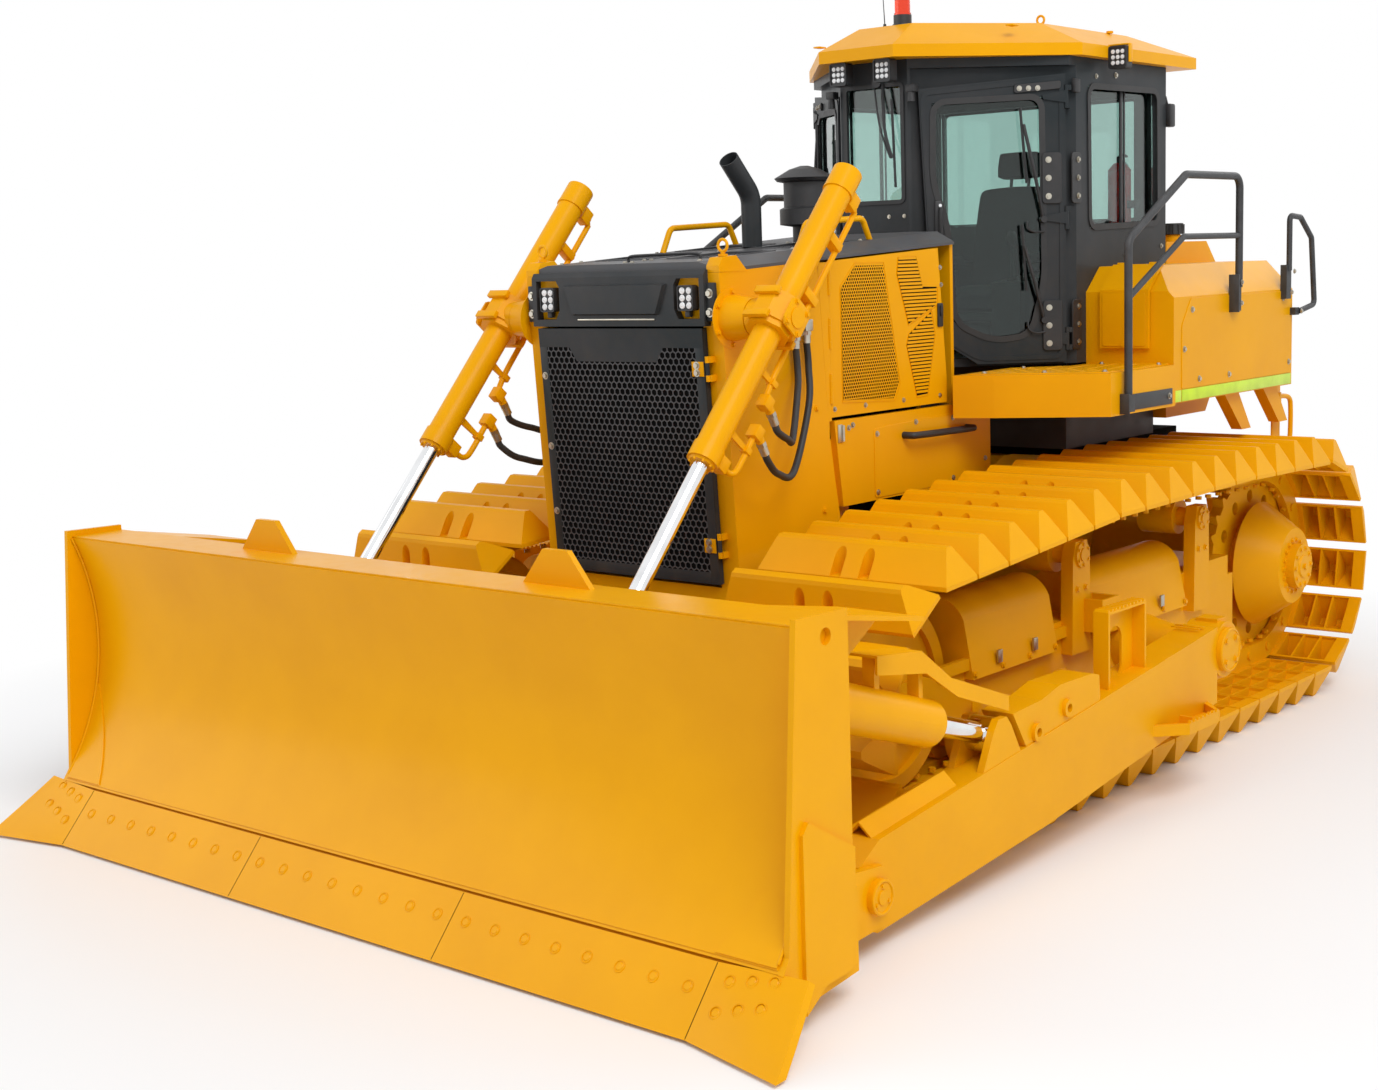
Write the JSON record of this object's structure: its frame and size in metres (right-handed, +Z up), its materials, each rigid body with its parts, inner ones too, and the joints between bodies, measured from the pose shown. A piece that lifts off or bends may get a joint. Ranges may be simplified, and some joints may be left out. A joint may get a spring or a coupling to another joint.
{
  "type": "crawler bulldozer",
  "caption": "Crawler bulldozer with wide swamp tracks, a straight blade on outside push arms, lift cylinders on the nose and a hexagonal cab.",
  "frame": {"origin": "on the ground under the middle of the machine, halfway between the tips of the end bits and the end of the drawbar", "axes": "+Z up, the machine faces -Y, its left side is +X"},
  "size_m": [4.3852, 6.1999, 3.65],
  "materials": {
    "body_yellow": "gloss paint, dusty low down",
    "cab_charcoal": "satin paint",
    "frame_grey": "satin paint",
    "track_yellow": "gloss paint, rubbed on the grousers",
    "engine_iron": "dark painted iron",
    "rail_black": "satin black coating",
    "rod_chrome": "polished hard chrome",
    "trim_plastic": "matt black",
    "seat_fabric": "woven cloth",
    "glass": "lightly tinted",
    "lamp_glass": "clear lens over reflectors",
    "beacon_lens": "translucent red"
  },
  "bodies": {
    "tractor": {"beacon": "beacon_lens", "cab_floor": "cab_charcoal", "cab_frame": "cab_charcoal", "cab_glass": "glass", "cab_mounts": "frame_grey", "cab_roof": "body_yellow", "consoles": "trim_plastic", "drawbar": "body_yellow", "engine_block": "engine_iron", "exhaust_pipe": "rail_black", "fenders": "body_yellow", "final_drives": "body_yellow", "fuel_tank": "body_yellow", "handrails": "rail_black", "headlamps": "lamp_glass", "hood_frame": "body_yellow", "hood_rails": "body_yellow", "hood_top": "cab_charcoal", "idlers": "body_yellow", "lower_side_covers": "body_yellow", "main_frame": "body_yellow", "nose_bezel": "cab_charcoal", "pivot_shafts": "frame_grey", "platforms": "body_yellow", "pre_cleaner": "trim_plastic", "radiator_core": "engine_iron", "radiator_guard": "body_yellow", "recoil_covers": "body_yellow", "seat": "seat_fabric", "sprockets": "body_yellow", "track_frames": "body_yellow", "track_left": "track_yellow", "track_right": "track_yellow", "track_rollers": "track_yellow", "work_lights": "lamp_glass"},
    "blade": {"moldboard": "body_yellow", "end_plates": "body_yellow", "cutting_edge": "body_yellow", "end_bits": "body_yellow", "push_arms": "body_yellow", "tilt_cylinder_barrel": "body_yellow", "tilt_cylinder_rod": "rod_chrome", "tilt_brace": "body_yellow"},
    "lift_barrel_left": {"lift_cylinder_left": "body_yellow"},
    "lift_barrel_right": {"lift_cylinder_right": "body_yellow"},
    "lift_ram_left": {"lift_rod_left": "rod_chrome"},
    "lift_ram_right": {"lift_rod_right": "rod_chrome"},
    "engine_panel_left": {"engine_door_left": "body_yellow"},
    "engine_panel_right": {"engine_door_right": "body_yellow"},
    "front_grille": {"grille_door": "cab_charcoal"},
    "cab_entry_left": {"cab_door_left": "cab_charcoal", "cab_door_glass_left": "glass"},
    "cab_entry_right": {"cab_door_right": "cab_charcoal", "cab_door_glass_right": "glass"},
    "box_lid": {"toolbox_lid": "body_yellow"}
  },
  "joints": [
    {"name": "blade_lift", "type": "hinge", "parent": "tractor", "child": "blade", "pos_m": [0, 0.7, 0.58], "axis": [-1, 0, 0], "range_deg": [-8.5, 18.5]},
    {"name": "lift_swing_left", "type": "hinge", "parent": "tractor", "child": "lift_barrel_left", "pos_m": [0.77, -1.21, 2.16], "axis": [-1, 0, 0], "range_deg": [-10.6, 22.8]},
    {"name": "lift_stroke_left", "type": "slide", "parent": "lift_barrel_left", "child": "lift_ram_left", "axis": [0, -0.6653, -0.7466], "range_m": [-0.785, 0.365]},
    {"name": "lift_swing_right", "type": "hinge", "parent": "tractor", "child": "lift_barrel_right", "pos_m": [-0.77, -1.21, 2.16], "axis": [-1, 0, 0], "range_deg": [-10.6, 22.8]},
    {"name": "lift_stroke_right", "type": "slide", "parent": "lift_barrel_right", "child": "lift_ram_right", "axis": [0, -0.6653, -0.7466], "range_m": [-0.785, 0.365]},
    {"name": "engine_door_left_hinge", "type": "hinge", "parent": "tractor", "child": "engine_panel_left", "pos_m": [0.55, -0.552, 2.05], "axis": [0, 0, 1], "range_deg": [-70, 0]},
    {"name": "engine_door_right_hinge", "type": "hinge", "parent": "tractor", "child": "engine_panel_right", "pos_m": [-0.55, -0.552, 2.05], "axis": [0, 0, -1], "range_deg": [-70, 0]},
    {"name": "grille_hinge", "type": "hinge", "parent": "tractor", "child": "front_grille", "pos_m": [0.482, -1.2449, 1.0586], "axis": [0, 0.0558, -0.9984], "range_deg": [-90, 0]},
    {"name": "cab_door_left_hinge", "type": "hinge", "parent": "tractor", "child": "cab_entry_left", "pos_m": [0.7648, 1.1204, 2.5], "axis": [0, 0, -1], "range_deg": [-75, 0]},
    {"name": "cab_door_right_hinge", "type": "hinge", "parent": "tractor", "child": "cab_entry_right", "pos_m": [-0.7648, 1.1204, 2.5], "axis": [0, 0, 1], "range_deg": [-75, 0]},
    {"name": "toolbox_lid_hinge", "type": "hinge", "parent": "tractor", "child": "box_lid", "pos_m": [0.9975, 1.436, 2.314], "axis": [1, 0, 0], "range_deg": [-85, 0]}
  ],
  "couplings": [
    {"joint": "lift_swing_left", "follows": "blade_lift", "ratio": 1.22},
    {"joint": "lift_stroke_left", "follows": "blade_lift", "m_per_rad": -2.41},
    {"joint": "lift_swing_right", "follows": "blade_lift", "ratio": 1.22},
    {"joint": "lift_stroke_right", "follows": "blade_lift", "m_per_rad": -2.41}
  ]
}
